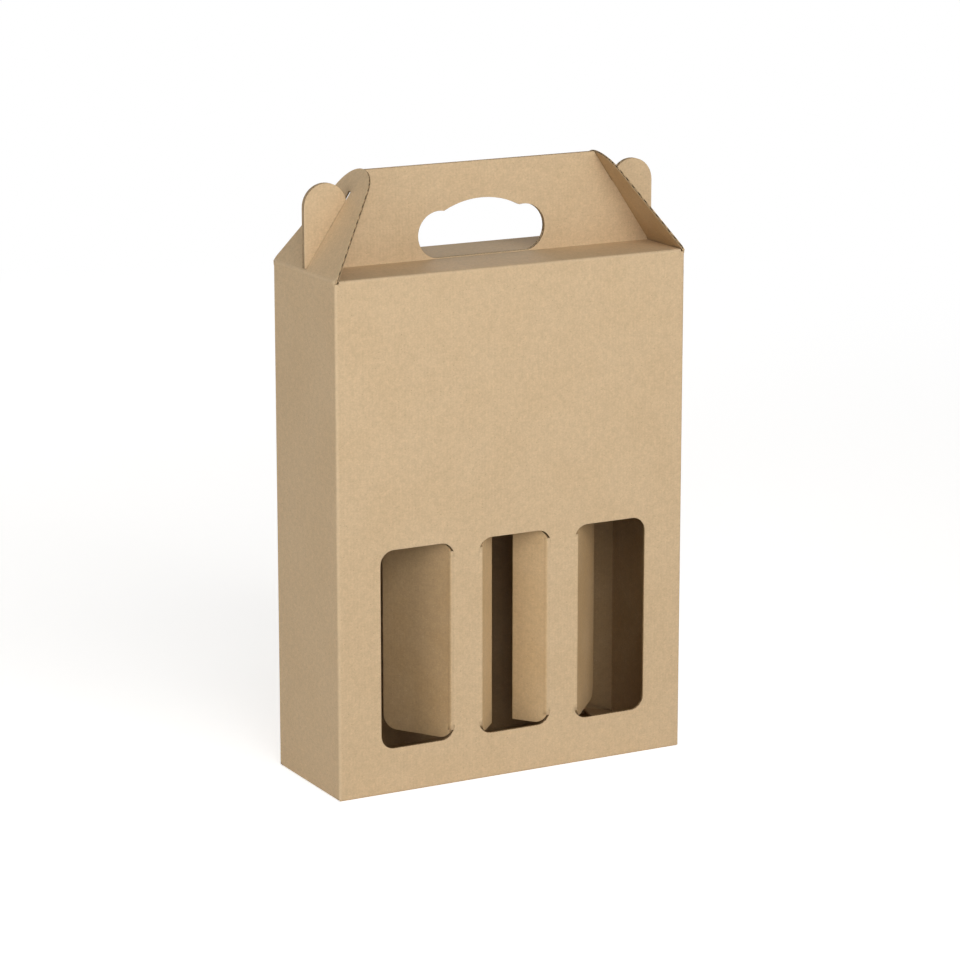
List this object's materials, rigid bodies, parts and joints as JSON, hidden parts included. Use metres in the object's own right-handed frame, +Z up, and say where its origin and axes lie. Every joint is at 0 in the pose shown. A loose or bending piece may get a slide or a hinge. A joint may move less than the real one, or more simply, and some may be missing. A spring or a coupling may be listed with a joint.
{
  "type": "wine box with window",
  "caption": "Corrugated board carrier carton for wine bottles, with a hand-hole handle locked by folding side flaps and die-cut front windows whose flaps fold inwards as dividers.",
  "frame": {"origin": "centre of the body's footprint, on the floor", "axes": "+Z up, -Y towards the front panel with the windows, +X to the right seen from the front"},
  "size_m": [0.255, 0.09, 0.402],
  "materials": {
    "board": "matt"
  },
  "bodies": {
    "carton": {"carton": "board"},
    "left_lock_flap": {"left_lock_flap": "board"},
    "right_lock_flap": {"right_lock_flap": "board"},
    "left_window_flap": {"left_window_flap": "board"},
    "middle_left_window_flap": {"middle_left_window_flap": "board"},
    "middle_right_window_flap": {"middle_right_window_flap": "board"},
    "right_window_flap": {"right_window_flap": "board"}
  },
  "joints": [
    {"name": "left_lock_crease", "type": "hinge", "parent": "carton", "child": "left_lock_flap", "pos_m": [-0.12675, 0, 0.33925], "axis": [0, -1, 0], "range_deg": [0, 120]},
    {"name": "right_lock_crease", "type": "hinge", "parent": "carton", "child": "right_lock_flap", "pos_m": [0.12675, 0, 0.33925], "axis": [0, 1, 0], "range_deg": [0, 120]},
    {"name": "left_window_crease", "type": "hinge", "parent": "carton", "child": "left_window_flap", "pos_m": [-0.04595, -0.04425, 0.0967], "axis": [0, 0, -1], "range_deg": [-58, 32]},
    {"name": "middle_left_window_crease", "type": "hinge", "parent": "carton", "child": "middle_left_window_flap", "pos_m": [-0.02345, -0.04425, 0.0967], "axis": [0, 0, 1], "range_deg": [-47, 43]},
    {"name": "middle_right_window_crease", "type": "hinge", "parent": "carton", "child": "middle_right_window_flap", "pos_m": [0.02545, -0.04425, 0.0967], "axis": [0, 0, -1], "range_deg": [-52, 38]},
    {"name": "right_window_crease", "type": "hinge", "parent": "carton", "child": "right_window_flap", "pos_m": [0.04795, -0.04425, 0.0967], "axis": [0, 0, 1], "range_deg": [-48, 42]}
  ]
}
